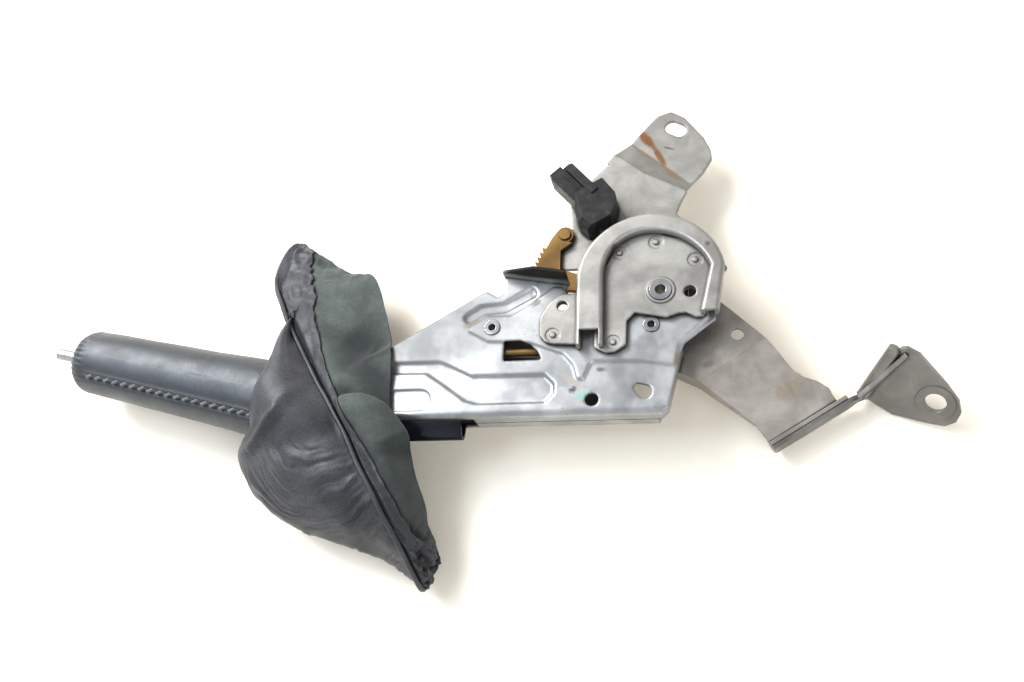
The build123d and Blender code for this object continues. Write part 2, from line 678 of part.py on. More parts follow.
def pivot_bushes():
    front = disc((0, 0), bush_od / 2, blade_face - blade_t, blade_face + field_rise)
    bore = pivot_od / 2 + run_gap
    front -= disc((0, 0), bore, 0, 20)
    return Compound([front, mirror(front, about=Plane.XY)])


def pivot_washers():
    bore = pivot_od / 2
    play = 0.1
    front = disc((0, 0), bush_flange / 2, blade_face + field_rise + play, plate_back) - disc((0, 0), bore, 0, 20)
    rear = disc((0, 0), bush_flange / 2, rear_face - washer_t, rear_face - play) - disc((0, 0), bore, -20, 0)
    return Compound([front, rear])


def pivot_spring():
    wire = 1.5
    mid = 13.0
    low = sector_face + wire / 2 + 0.1
    height = blade_face + field_rise - blade_t - 0.4 - wire / 2 - low
    helix = Helix(pitch=height / 1.5, height=height, radius=mid)
    coil = sweep(Plane(origin=helix @ 0, z_dir=helix % 0) * Circle(wire / 2), path=helix)
    return Pos(0, 0, low) * coil


def spacer_rivet():
    z = blade_face + field_rise
    return ring_rivet(spacer_pin, -z, z, rivet_head, rivet_shank, rivet_bore, rivet_head_t)


def pawl_rivet():
    z = blade_face + field_rise
    return ring_rivet(pawl_pin, -z, z, rivet_head, rivet_shank, rivet_bore, rivet_head_t)


pieces = {
    "lever_front_shell": lambda: half_shell(1),
    "lever_rear_shell": lambda: half_shell(-1),
    "front_bracket": front_bracket,
    "rear_bracket": rear_bracket,
    "foot_bracket": foot_bracket,
    "ratchet_sector": ratchet_sector,
    "sector_rivet": sector_rivet,
    "pivot_tube": pivot_tube,
    "pivot_bushes": pivot_bushes,
    "pivot_washers": pivot_washers,
    "pivot_spring": pivot_spring,
    "spacer_rivet": spacer_rivet,
    "pawl": pawl,
    "pawl_rivet": pawl_rivet,
    "release_rod": release_rod,
    "release_button": release_button,
    "button_spring": button_spring,
    "button_bush": button_bush,
    "spring_stop": spring_stop,
    "handle_tube": handle_tube,
    "grip_core": grip_core,
    "grip_leather": grip_leather,
    "boot_leather": boot_leather,
    "boot_skirt": boot_skirt,
    "boot_piping": boot_piping,
    "switch_body": switch_body,
    "switch_terminals": switch_terminals,
    "switch_plunger": switch_plunger,
}

os.makedirs("parts", exist_ok=True)
for name, make in pieces.items():
    export_step(make(), f"parts/{name}.step")
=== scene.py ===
from math import atan2, cos, hypot, pi, radians, sin, sqrt

import bmesh
import bpy
import numpy as np
from mathutils import Matrix, Vector, noise


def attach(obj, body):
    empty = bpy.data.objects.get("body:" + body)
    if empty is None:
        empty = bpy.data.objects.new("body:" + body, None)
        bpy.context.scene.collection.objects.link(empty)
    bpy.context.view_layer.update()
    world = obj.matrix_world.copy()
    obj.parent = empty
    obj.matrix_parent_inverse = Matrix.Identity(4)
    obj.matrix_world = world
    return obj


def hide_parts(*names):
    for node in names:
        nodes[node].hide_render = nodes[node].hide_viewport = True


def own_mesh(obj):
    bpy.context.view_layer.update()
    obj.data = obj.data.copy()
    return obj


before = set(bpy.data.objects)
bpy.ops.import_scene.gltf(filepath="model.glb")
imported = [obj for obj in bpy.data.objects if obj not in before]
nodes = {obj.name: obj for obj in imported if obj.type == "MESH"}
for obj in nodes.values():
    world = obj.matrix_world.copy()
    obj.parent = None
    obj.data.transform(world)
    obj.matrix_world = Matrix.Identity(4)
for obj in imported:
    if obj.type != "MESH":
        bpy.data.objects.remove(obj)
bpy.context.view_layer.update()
mm = 0.001

# Lists of points and named lengths are in mm, and mm turns them into metres. Places of lamps and the camera
# are in metres.

# Camera
# The camera stands in front of the bench, a little to the right, and looks steeply down. The lever lies on
# its side, with its pivot at the origin and its grip to the left.

camera_at = Vector((0.0336616, -0.2372884, 0.5261761))
camera_right = Vector((0.98068934, 0.0378993, -0.19186468))
camera_up = Vector((0.0378993, 0.92561844, 0.37655563))
camera_lens = 39.375
camera_sensor = 36.0
camera_nearest = 0.01

camera = bpy.data.objects.new("camera", bpy.data.cameras.new("camera"))
bpy.context.scene.collection.objects.link(camera)
camera.data.lens = camera_lens
camera.data.sensor_width = camera_sensor
camera.data.clip_start = camera_nearest
turn = Matrix((camera_right, camera_up, camera_right.cross(camera_up))).transposed()
camera.matrix_world = Matrix.Translation(camera_at) @ turn.to_4x4()
bpy.context.scene.camera = camera

# Bench and light
# A plain white bench top. A broad soft box hangs above and behind the lever, a weaker one fills from the
# front right, a small cool one hangs over the grip, and the pale room lights the rest.

bench_z = -29.3 * mm
bench_half = 4.0
bench_white = (0.93, 0.89, 0.81, 1)
bench_rough = 0.6
warm_bounce = (1.0, 0.88, 0.70, 1)
bounce_strength = 0.13
sky_low = (0.86, 0.85, 0.82, 1)
sky_middle = (0.78, 0.79, 0.80, 1)
sky_high = (0.42, 0.43, 0.45, 1)
sky_middle_at = 0.62
sky_strength = 1.0
display_gamma = 0.8


def new_material(name):
    made = bpy.data.materials.new(name)
    made.use_nodes = True
    return made, made.node_tree, made.node_tree.nodes["Principled BSDF"]


def put(tree, kind, inputs=None, **settings):
    # Adds a node: settings are its own options, inputs are numbers or the sockets that feed it.
    made = tree.nodes.new(kind)
    for key, value in settings.items():
        setattr(made, key, value)
    for key, value in (inputs or {}).items():
        if isinstance(value, bpy.types.NodeSocket):
            tree.links.new(value, made.inputs[key])
        else:
            made.inputs[key].default_value = value
    return made


def bench_top():
    # White paint that gives back a little warm light, so shadows on it don't turn grey.
    made, _, shader = new_material("bench_white")
    shader.inputs["Base Color"].default_value = bench_white
    shader.inputs["Roughness"].default_value = bench_rough
    shader.inputs["Emission Color"].default_value = warm_bounce
    shader.inputs["Emission Strength"].default_value = bounce_strength
    return made


def bench_mesh(half):
    corners = ((-half, -half), (half, -half), (half, half), (-half, half))
    made = bpy.data.meshes.new("bench")
    made.from_pydata([(x, y, bench_z) for x, y in corners], [], [(0, 1, 2, 3)])
    return made


bench = bpy.data.objects.new("bench", bench_mesh(bench_half))
bpy.context.scene.collection.objects.link(bench)
bench.data.materials.append(bench_top())


def soft_box(name, at, aim, size, power, colour):
    # A rectangular lamp at a place, turned towards its aim. Its power is in watts.
    lamp = bpy.data.lights.new(name, "AREA")
    lamp.shape = "RECTANGLE"
    lamp.size, lamp.size_y = size
    lamp.energy = power
    lamp.color = colour
    made = bpy.data.objects.new(name, lamp)
    made.location = at
    made.rotation_euler = (Vector(aim) - Vector(at)).to_track_quat("-Z", "Y").to_euler()
    bpy.context.scene.collection.objects.link(made)


soft_box("key_box", at=(-0.85, 0.70, 0.95), aim=(-0.05, -0.02, 0.0), size=(0.80, 0.55), power=20.5,
         colour=(1.0, 0.99, 0.97))
soft_box("fill_box", at=(0.55, -0.75, 0.8), aim=(-0.05, 0.0, 0.0), size=(0.8, 0.6), power=3.5,
         colour=(0.94, 0.97, 1.0))
soft_box("top_box", at=(-0.46, -0.01, 0.60), aim=(-0.26, -0.04, 0.0), size=(0.38, 0.24), power=2.0,
         colour=(0.80, 0.90, 1.0))

room = bpy.data.worlds.new("room")
room.use_nodes = True
bpy.context.scene.world = room
backdrop = room.node_tree.nodes["Background"]
rise = put(room.node_tree, "ShaderNodeSeparateXYZ",
           {"Vector": put(room.node_tree, "ShaderNodeTexCoord").outputs["Generated"]})
glow = put(room.node_tree, "ShaderNodeValToRGB", {"Fac": rise.outputs["Z"]})
glow.color_ramp.elements[0].color = sky_low
glow.color_ramp.elements[1].color = sky_high
glow.color_ramp.elements.new(sky_middle_at).color = sky_middle
room.node_tree.links.new(glow.outputs["Color"], backdrop.inputs["Color"])
backdrop.inputs["Strength"].default_value = sky_strength
bpy.context.scene.view_settings.view_transform = "Standard"
bpy.context.scene.view_settings.gamma = display_gamma

# Blade of the lever
# Two halves pressed from thin galvanised sheet and welded. The zinc has a soft cloudy bloom, fine rolled
# grain, dark specks of dirt and faint tan stains by the bends.

grain_lines = (250, 1900, 1900)
speck_brown = (0.16, 0.15, 0.14)
# Painted shade in corners and joints: its colour, how far it reaches in mm and its strength.
corner_shade_black = (0.055, 0.05, 0.045)
corner_shade_reach = 3.0
corner_shade_strength = 0.9


def place(tree):
    return put(tree, "ShaderNodeTexCoord").outputs["Object"]


def scaled(tree, vector, scale):
    return put(tree, "ShaderNodeMapping", {"Vector": vector, "Scale": scale}).outputs["Vector"]


def cloud(tree, vector, scale, detail=4.0, roughness=0.55, distortion=0.0):
    # Even noise round 0.5. A higher scale makes it finer.
    made = put(tree, "ShaderNodeTexNoise", {"Vector": vector, "Scale": scale, "Detail": detail,
                                            "Roughness": roughness, "Distortion": distortion})
    return made.outputs["Fac"]


def ranged(tree, value, low, high, to_low=0.0, to_high=1.0):
    # Eases a value from low to high into a value from to_low to to_high.
    limits = {"From Min": low, "From Max": high, "To Min": to_low, "To Max": to_high}
    made = put(tree, "ShaderNodeMapRange", {"Value": value, **limits}, interpolation_type="SMOOTHSTEP")
    return made.outputs["Result"]


def mixed(tree, share, first, second):
    # The first colour where the share is 0 and the second where it is 1. The colour mix has these sockets.
    share_in, first_in, second_in, colour_out = 0, 6, 7, 2
    made = put(tree, "ShaderNodeMix", {share_in: share}, data_type="RGBA")
    for index, value in ((first_in, first), (second_in, second)):
        if isinstance(value, bpy.types.NodeSocket):
            tree.links.new(value, made.inputs[index])
        else:
            made.inputs[index].default_value = (*value, 1)
    return made.outputs[colour_out]


def times(tree, first, second, kind="MULTIPLY"):
    # The product of two values, or what another kind of sum makes of them.
    return put(tree, "ShaderNodeMath", {0: first, 1: second}, operation=kind).outputs[0]


def stain_and_shade_patch(tree, at, reach, turn, ragged, amount, full=0.45):
    # An uneven patch at a place on the piece: 0 outside it, up to amount in its middle. It places stains and
    # also patches of painted shade. A higher full makes it fade more slowly. Its place and reach are in mm
    # and its turn in degrees.
    local = put(tree, "ShaderNodeMapping", {"Vector": place(tree)}, vector_type="TEXTURE")
    local.inputs["Location"].default_value = [value * mm for value in at]
    local.inputs["Scale"].default_value = [value * mm for value in reach]
    local.inputs["Rotation"].default_value = (0, 0, radians(turn))
    ball = put(tree, "ShaderNodeTexGradient", {"Vector": local.outputs["Vector"]}, gradient_type="SPHERICAL")
    edge = times(tree, cloud(tree, place(tree), scale=420.0, detail=6.0, roughness=0.7), ragged)
    return ranged(tree, times(tree, ball.outputs["Fac"], edge, "SUBTRACT"), 0.0, full, 0.0, amount)


def plated(name, light, dark, metal=0.85, rough=(0.34, 0.5), grain=0.12, round_edge=0.35, specks=0.5,
           stains_and_shades=()):
    # Sheet metal: cloudy tone, directional grain, specks, placed stains and placed patches of painted shade.
    # Painted shade from ambient occlusion darkens its corners and the joints between parts, which are also
    # made rougher. Its edges look softly rounded, to a radius of round_edge in mm.
    made, tree, shader = new_material(name)
    there = place(tree)
    bloom = cloud(tree, there, scale=45.0, detail=5.0, roughness=0.62, distortion=0.4)
    colour = mixed(tree, ranged(tree, bloom, 0.35, 0.68), dark, light)
    fine = cloud(tree, scaled(tree, there, grain_lines), scale=1.0, detail=3.0)
    grain_shade = tuple(0.6 * value for value in dark)
    colour = mixed(tree, ranged(tree, fine, 0.3, 0.7, to_high=0.10), colour, grain_shade)
    dots = put(tree, "ShaderNodeTexVoronoi", {"Vector": there, "Scale": 330.0}, feature="F1")
    near = ranged(tree, dots.outputs["Distance"], 0.16, 0.07)
    where = ranged(tree, cloud(tree, there, scale=60.0, detail=3.0), 0.50, 0.64)
    colour = mixed(tree, times(tree, times(tree, near, where), specks), colour, speck_brown)
    roughness = ranged(tree, cloud(tree, there, scale=70.0), 0.3, 0.7, *rough)
    for patch_colour, at, reach, turn, ragged, amount in stains_and_shades:
        patch = stain_and_shade_patch(tree, at, reach, turn, ragged, amount)
        colour = mixed(tree, patch, colour, patch_colour)
        roughness = times(tree, roughness, times(tree, patch, 0.35), "ADD")
    # Painted shade: ambient occlusion darkens corners, creases and the joints between parts, and makes them
    # rougher.
    hidden = put(tree, "ShaderNodeAmbientOcclusion", {"Distance": corner_shade_reach * mm}, samples=8)
    corner_shade = ranged(tree, hidden.outputs["AO"], 0.90, 0.42, to_high=corner_shade_strength)
    tree.links.new(mixed(tree, corner_shade, colour, corner_shade_black), shader.inputs["Base Color"])
    tree.links.new(times(tree, roughness, times(tree, corner_shade, 0.3), "ADD"), shader.inputs["Roughness"])
    shader.inputs["Metallic"].default_value = metal
    soft = put(tree, "ShaderNodeBevel", {"Radius": round_edge * mm}, samples=6)
    height = times(tree, fine, cloud(tree, there, scale=160.0, detail=2.0), "ADD")
    bump = put(tree, "ShaderNodeBump", {"Strength": grain, "Distance": 0.1 * mm, "Height": height,
                                        "Normal": soft.outputs["Normal"]})
    tree.links.new(bump.outputs["Normal"], shader.inputs["Normal"])
    return made


def dress(material, *names):
    for name in names:
        nodes[name].data.materials.clear()
        nodes[name].data.materials.append(material)


# Each stain and each patch of painted shade is a colour, a place, its reach along x, y and z, a turn, how
# ragged it is and its strength.
tan = (0.36, 0.27, 0.15)
# A dark grey-brown, put in small dark patches on the blade and the brackets.
dark_patch = (0.09, 0.085, 0.08)
mint = (0.30, 0.55, 0.47)
# Dull zinc that is also painted shade, toning down the highlight on the left of the blade.
dull_zinc_and_painted_shade = (0.32, 0.32, 0.32)
# Painted shade for the blade's top flange.
flange_painted_shade = (0.045, 0.04, 0.036)
blade_stains_and_shades = (
    # A duller, darker patch over the left of the blade: dull zinc and painted shade.
    (dull_zinc_and_painted_shade, (-122.0, -8.0, 11.0), (66.0, 44.0, 26.0), 0.0, 0.2, 0.65),
    # Painted shade over the blade's top flange.
    (flange_painted_shade, (-63.6, 13.0, 21.5), (44.0, 24.0, 10.5), -10.0, 0.15, 0.95),
    (mint, (-39.0, -53.0, 10.0), (9.0, 5.0, 8.0), 20.0, 0.7, 0.55),
    (tan, (-97.0, -12.0, 11.0), (10.0, 4.0, 6.0), 30.0, 0.6, 0.35),
    (tan, (8.0, -36.0, 11.0), (5.0, 9.0, 6.0), -20.0, 0.6, 0.45),
    (dark_patch, (-44.0, -50.0, 10.0), (5.0, 5.0, 6.0), 0.0, 0.95, 0.8),
    (dark_patch, (-64.0, -3.0, 11.0), (9.0, 4.0, 8.0), 30.0, 0.8, 0.55),
    (dark_patch, (-30.0, -40.0, 10.0), (7.0, 4.0, 6.0), 0.0, 0.95, 0.6),
    (tan, (-45.0, -45.0, 9.0), (12.0, 4.0, 6.0), -30.0, 0.6, 0.3))
blade_steel = plated("galvanised_blade", light=(0.53, 0.535, 0.54), dark=(0.40, 0.403, 0.41), round_edge=1.9,
                     specks=0.8, stains_and_shades=blade_stains_and_shades)
dress(blade_steel, "lever_front_shell", "lever_rear_shell")

# Brackets
# The main bracket is pressed from thicker sheet with a dull phosphate grey. The arm is welded to it and the
# foot to the arm, and both are duller and browner. Rust runs down from the joggle of the upper tab.

rust = (0.31, 0.165, 0.08)
rust_light = (0.44, 0.32, 0.21)
bracket_stains = (
    (rust, (-8.2, 102.8, -7.0), (4.6, 11.5, 9.0), 36.0, 0.38, 0.95),
    (rust, (-1.0, 91.0, -6.0), (3.2, 13.0, 9.0), 26.0, 0.33, 0.85),
    (rust_light, (5.6, 79.6, -5.0), (3.2, 10.0, 9.0), 38.0, 0.33, 0.8),
    (rust_light, (-8.0, 93.0, -6.0), (12.0, 4.0, 9.0), -42.0, 0.5, 0.4),
    (dark_patch, (-20.0, 88.0, -8.0), (5.0, 1.6, 6.0), 50.0, 0.6, 0.6),
    (dark_patch, (4.0, 96.0, -8.0), (6.0, 1.4, 6.0), -20.0, 0.6, 0.5),
    (tan, (12.0, 66.0, 0.0), (5.0, 5.0, 6.0), 0.0, 0.6, 0.5),
    (tan, (-33.0, 38.0, 1.5), (14.0, 5.0, 6.0), 40.0, 0.5, 0.5),
    (dark_patch, (24.0, 22.0, 17.0), (4.0, 4.0, 8.0), 0.0, 0.8, 0.7))
arm_stains = (
    (tan, (60.0, -45.0, -14.0), (16.0, 9.0, 12.0), 30.0, 0.5, 0.3),
    (dark_patch, (22.0, -35.0, -1.0), (9.0, 5.0, 8.0), 20.0, 0.8, 0.4))
foot_stains = (
    (dark_patch, (105.0, -55.0, -22.0), (12.0, 4.0, 8.0), -20.0, 0.8, 0.5),
    (dark_patch, (96.0, -46.0, -24.0), (5.0, 5.0, 8.0), 0.0, 0.7, 0.6))
bracket_grey = plated("bracket_grey", light=(0.48, 0.47, 0.447), dark=(0.36, 0.348, 0.33), metal=0.75,
                      rough=(0.4, 0.58), round_edge=1.2, specks=0.4, grain=0.18, stains_and_shades=bracket_stains)
arm_grey = plated("arm_grey", light=(0.50, 0.467, 0.43), dark=(0.37, 0.342, 0.31), metal=0.8,
                  rough=(0.36, 0.52), round_edge=0.6, specks=0.3, grain=0.2, stains_and_shades=arm_stains)
foot_grey = plated("foot_grey", light=(0.36, 0.35, 0.335), dark=(0.26, 0.25, 0.24), metal=0.8,
                   rough=(0.32, 0.5), round_edge=0.6, specks=0.4, grain=0.2, stains_and_shades=foot_stains)
dress(bracket_grey, "front_bracket")
dress(arm_grey, "rear_bracket")
dress(foot_grey, "foot_bracket")

# Ratchet, pawl and rod
# Hardened steel parts in yellow zinc plate, which is uneven and browns where it has worn. The toothed sector
# is riveted to the bracket, and the pawl turns on a rivet in the blade when the rod is pushed.

yellow_zinc = plated("yellow_zinc", light=(0.31, 0.20, 0.08), dark=(0.18, 0.115, 0.048), metal=0.75,
                     rough=(0.38, 0.55), specks=0.3, round_edge=0.3)
dress(yellow_zinc, "ratchet_sector", "sector_rivet", "pawl", "release_rod")

# Rivets, button and small bright parts
# The rivets and the release button are bright plated steel, and the rivets are headed over on both sides.
# Springs are oiled wire, and the bushes and the switch's terminals are bronze.

bright = plated("bright_plate", light=(0.80, 0.80, 0.79), dark=(0.64, 0.64, 0.64), metal=1.0,
                rough=(0.16, 0.28), specks=0.1, grain=0.04, round_edge=0.3)
spring_steel = plated("spring_wire", light=(0.30, 0.30, 0.31), dark=(0.18, 0.18, 0.19), metal=0.9,
                      rough=(0.25, 0.4), specks=0.0)
bronze = plated("bush_bronze", light=(0.50, 0.38, 0.22), dark=(0.36, 0.27, 0.15), metal=0.9,
                rough=(0.35, 0.5), specks=0.2)
dress(bright, "pivot_tube", "spacer_rivet", "pawl_rivet", "release_button")
dress(spring_steel, "button_spring", "pivot_spring")
dress(bronze, "pivot_bushes", "switch_terminals")

# Handle tube
# Drawn steel tube under a thick gloss black coat, which shows bluish where it catches the light. Its end is
# flattened and crimped between the halves of the blade.

black_coat = plated("black_coat", light=(0.022, 0.026, 0.036), dark=(0.012, 0.014, 0.02), metal=0.0,
                    rough=(0.12, 0.22), specks=0.0, grain=0.03)
dress(black_coat, "handle_tube")

# Moulded plastic parts
# Black glass-filled nylon with a fine spark texture, a little greyer where it is worn. The switch is clipped
# on the bracket, and the guides sit in the tube under the plastic core of the grip.


def moulded(name, colour, worn, rough):
    # Plastic with a fine eroded texture, which greys in patches and varies a little in gloss.
    made, tree, shader = new_material(name)
    there = place(tree)
    wear = ranged(tree, cloud(tree, there, scale=120.0, detail=5.0, roughness=0.65), 0.45, 0.72)
    tree.links.new(mixed(tree, wear, colour, worn), shader.inputs["Base Color"])
    gloss = ranged(tree, cloud(tree, there, scale=300.0), 0.3, 0.7, rough - 0.08, rough + 0.08)
    tree.links.new(gloss, shader.inputs["Roughness"])
    soft = put(tree, "ShaderNodeBevel", {"Radius": 0.4 * mm}, samples=6)
    spark = cloud(tree, there, scale=2600.0, detail=2.0)
    bump = put(tree, "ShaderNodeBump", {"Strength": 0.25, "Distance": 0.08 * mm, "Height": spark,
                                        "Normal": soft.outputs["Normal"]})
    tree.links.new(bump.outputs["Normal"], shader.inputs["Normal"])
    return made


nylon = moulded("black_nylon", colour=(0.026, 0.026, 0.027), worn=(0.060, 0.060, 0.061), rough=0.40)
guide_plastic = moulded("guide_plastic", colour=(0.03, 0.03, 0.03), worn=(0.05, 0.05, 0.05), rough=0.5)
dress(nylon, "switch_body", "switch_plunger", "pivot_washers")
dress(guide_plastic, "button_bush", "spring_stop", "grip_core")

# Leather of the grip
# A sleeve of black leather pulled tight over the core, closed by a whip-stitched seam low on its side. The
# button end is gathered in short pleats, and the leather wrinkles across near the boot.

# The grip's axis starts at the knee of the tube. The seam has a lip above and a groove below its line.
grip_knee = Vector((-181.0, -53.6, 0.0)) * mm
grip_fall = radians(13.4)
grip_out = Vector((-cos(grip_fall), sin(grip_fall), 0.0))
grip_side = Vector((-sin(grip_fall), -cos(grip_fall), 0.0))
grip_start = 22.0
grip_length = 122.5
grip_r_near = 21.0
grip_r_far = 17.2
end_round = 9.5
tube_r = 11.0
leather_t = 1.5
seam_angle = radians(40.0)
pleats = 34
lip_height = 0.45
lip_offset = 1.6
lip_width = 1.1
groove_depth = 1.25
groove_offset = 1.7
groove_width = 1.2
pleat_height = 0.9
wrinkle_height = 0.10
sag_height = 0.35
grip_columns = 256
body_rows = 190
round_rows = 44
round_reach = 14.0
pore_black = (0.004, 0.004, 0.004)
# Colours of the painted shade in the leather's folds and in its placed patches of painted shade.
fold_shade_black = (0.006, 0.006, 0.007)
shade_black = (0.009, 0.009, 0.010)
fold_shade_reach = 9.0
shade_ragged = 0.2
shade_full = 0.8
cool_gloss = (0.88, 0.94, 1.0, 1)


def grip_radius(d):
    # Radius of the smooth grip at a distance from its near end, in mm.
    r = grip_r_near + (grip_r_far - grip_r_near) * d / grip_length
    past = d - (grip_length - end_round)
    if past > 0:
        r -= end_round - sqrt(max(end_round ** 2 - past ** 2, 0.0))
    return r


def grip_point(d, r, angle):
    # A point of the grip in metres: d along it and r from its axis, at an angle that starts at the top.
    around = Vector((0, 0, 1)) * cos(angle) + grip_side * sin(angle)
    return grip_knee + grip_out * (grip_start + d) * mm + around * r * mm


def smooth(low, high, value):
    # Eases from 0 at low to 1 at high, and holds outside them.
    t = min(max((value - low) / (high - low), 0.0), 1.0)
    return t * t * (3 - 2 * t)


def grip_relief(d, angle):
    # Height of the leather over the smooth form, in mm: the lip and groove of the seam, the pleats at the
    # button end, fine wrinkles that fade away from the boot and a slow sag.
    off = (angle - seam_angle + pi) % (2 * pi) - pi
    across = off * grip_radius(d)
    along_seam = smooth(-2, 4, d) * smooth(grip_length - 9, grip_length - 16, d)
    lip = lip_height * np.exp(-((across + lip_offset) / lip_width) ** 2)
    groove = groove_depth * np.exp(-((across - groove_offset) / groove_width) ** 2)
    gather = smooth(grip_length - 13, grip_length - 4, d)
    fold = abs(sin(angle * pleats / 2 + 0.5 * noise.noise((angle * 2, 3.0, 0))))
    spot = Vector((d * 0.42, angle * 3.1, 0.0))
    wrinkles = noise.ridged_multi_fractal(spot + Vector((9, 2, 4)), 1.0, 2.1, 3, 0.9, 2.0) - 1.1
    relief = along_seam * (lip - groove)
    relief += gather * pleat_height * (fold ** 0.6 - 0.75)
    relief += wrinkle_height * wrinkles * (0.35 + 0.65 * smooth(90, 20, d))
    relief += sag_height * noise.noise((d * 0.035, angle * 1.4, 1.0))
    return relief


def ring_mesh(name, rings, close_rows=True):
    # A skin over rows of points, each row a closed ring. The rows join end to end when close_rows is set.
    rows, columns = len(rings), len(rings[0])
    faces = []
    for i in range(rows if close_rows else rows - 1):
        for j in range(columns):
            a, b = i * columns, (i + 1) % rows * columns
            faces.append((a + j, a + (j + 1) % columns, b + (j + 1) % columns, b + j))
    made = bpy.data.meshes.new(name)
    made.from_pydata([point for ring in rings for point in ring], [], faces)
    made.polygons.foreach_set("use_smooth", [True] * len(faces))
    made.update()
    return made


def grip_rings():
    # Rings of points: the cut edge at the boot, the outside of the sleeve, and its end turned in over the
    # tube.
    angles = [2 * pi * j / grip_columns for j in range(grip_columns)]
    first_row = 0.4
    flat_end = grip_length - 0.02
    body_length = flat_end - round_reach - first_row
    stations = [first_row + body_length * i / body_rows for i in range(body_rows + 1)]
    stations += [flat_end - round_reach * (1 - i / round_rows) ** 1.35 for i in range(1, round_rows + 1)]
    last = grip_radius(flat_end)
    cut_edge = ((0.0, grip_r_near - leather_t + 0.2), (0.0, grip_r_near - 0.6))
    turned_in = ((grip_length + 0.1, last - 1.2), (grip_length, last - 3.0),
                 (grip_length - 0.4, tube_r - 4.0), (grip_length - 2.0, tube_r - 6.0),
                 (grip_length - 3.5, tube_r - 6.0),
                 (grip_length - 4.0, grip_radius(grip_length - 6.0) - 3.0),
                 (grip_length - 14.0, grip_radius(grip_length - 14.0) - leather_t))
    rings = [[grip_point(d, r, angle) for angle in angles] for d, r in cut_edge]
    for d in stations:
        rings.append([grip_point(d, grip_radius(d) + grip_relief(d, angle), angle) for angle in angles])
    rings += [[grip_point(d, r, angle) for angle in angles] for d, r in turned_in]
    return rings


def grain_leather(name, dark, light, rough, cell, depth, coat=0.0, sheen=0.0, gloss=0.5, shades=()):
    # Dyed leather: pebbled cells of a size in mm, fine hair creases between them and a soft change of tone.
    # It gets painted shade in its folds from ambient occlusion, and painted shade where a patch of it is
    # placed.
    made, tree, shader = new_material(name)
    there = place(tree)
    tone = ranged(tree, cloud(tree, there, scale=30.0, detail=5.0, roughness=0.6), 0.35, 0.7)
    cells = put(tree, "ShaderNodeTexVoronoi", {"Vector": there, "Scale": 1000.0 / cell},
                feature="DISTANCE_TO_EDGE")
    pebble = ranged(tree, cells.outputs["Distance"], 0.0, 0.22)
    colour = mixed(tree, tone, dark, light)
    colour = mixed(tree, ranged(tree, pebble, 0.0, 0.6, to_low=0.35, to_high=0.0), colour, pore_black)
    # Painted shade: ambient occlusion darkens the leather in its folds.
    hidden = put(tree, "ShaderNodeAmbientOcclusion", {"Distance": fold_shade_reach * mm}, samples=8)
    colour = mixed(tree, ranged(tree, hidden.outputs["AO"], 0.95, 0.45, to_high=0.75), colour, fold_shade_black)
    # Painted shade in placed patches, such as the hollow above the boot's lobe.
    for at, reach, turn, amount in shades:
        shade = stain_and_shade_patch(tree, at, reach, turn, shade_ragged, amount, shade_full)
        colour = mixed(tree, shade, colour, shade_black)
    tree.links.new(colour, shader.inputs["Base Color"])
    wear = ranged(tree, cloud(tree, there, scale=90.0), 0.3, 0.7, rough - 0.07, rough + 0.07)
    tree.links.new(wear, shader.inputs["Roughness"])
    creases = cloud(tree, there, scale=420.0, detail=5.0, roughness=0.65, distortion=0.6)
    height = times(tree, times(tree, pebble, 0.6), times(tree, creases, 0.8), "ADD")
    bump = put(tree, "ShaderNodeBump", {"Strength": depth, "Distance": 0.15 * mm, "Height": height})
    tree.links.new(bump.outputs["Normal"], shader.inputs["Normal"])
    shader.inputs["Specular IOR Level"].default_value = gloss
    shader.inputs["Specular Tint"].default_value = cool_gloss
    shader.inputs["Coat Weight"].default_value = coat
    shader.inputs["Coat Roughness"].default_value = rough - 0.08
    shader.inputs["Sheen Weight"].default_value = sheen
    return made


def add_piece(name, mesh, material):
    made = bpy.data.objects.new(name, mesh)
    bpy.context.scene.collection.objects.link(made)
    made.data.materials.clear()
    made.data.materials.append(material)
    return made


def outward(mesh):
    # Turns the faces of a closed skin so that they all look outwards.
    work = bmesh.new()
    work.from_mesh(mesh)
    bmesh.ops.recalc_face_normals(work, faces=work.faces)
    work.to_mesh(mesh)
    work.free()
    mesh.update()


grip_hide = grain_leather("grip_leather", dark=(0.021, 0.024, 0.029), light=(0.044, 0.049, 0.058),
                          rough=0.54, cell=0.9, depth=0.22, coat=0.7, gloss=1.0)
grip = add_piece("grip_sleeve", ring_mesh("grip_sleeve", grip_rings()), grip_hide)
outward(grip.data)
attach(grip, "lever")
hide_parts("grip_leather")

# Return spring of the button
# A coil of oiled wire inside the tube, between its stop and the collar of the button. In the real grip it
# shortens as the button is pressed, but here it only gets a mesh of its own.

coil = nodes["button_spring"]
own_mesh(coil)

# Stitches of the grip
# Waxed grey thread whipped over the butted edges of the sleeve. Each stitch slants across the seam and pulls
# it down into a narrow groove.

stitch_pitch = 5.35
stitch_reach = 0.95
stitch_lean = 1.75
stitch_crown = 1.3
stitch_root = 0.5
thread_r = 0.85
arch_steps = 10
thread_sides = 8
seam_rise = 0.15
seam_stops = (5.0, 40.0, 75.0, grip_length - 17.0)
thread_dark = (0.12, 0.12, 0.13)
thread_light = (0.27, 0.27, 0.28)
thread_ply = (1400, 1400, 1400)
thread_rough = 0.7


def thread_material():
    made, tree, shader = new_material("grey_thread")
    there = place(tree)
    ply = cloud(tree, scaled(tree, there, thread_ply), scale=1.0, detail=2.0)
    tree.links.new(mixed(tree, ply, thread_dark, thread_light), shader.inputs["Base Color"])
    shader.inputs["Roughness"].default_value = thread_rough
    bump = put(tree, "ShaderNodeBump", {"Strength": 0.4, "Distance": 0.1 * mm, "Height": ply})
    tree.links.new(bump.outputs["Normal"], shader.inputs["Normal"])
    return made


def set_input(modifier, tree, name, value):
    modifier[tree.interface.items_tree[name].identifier] = value


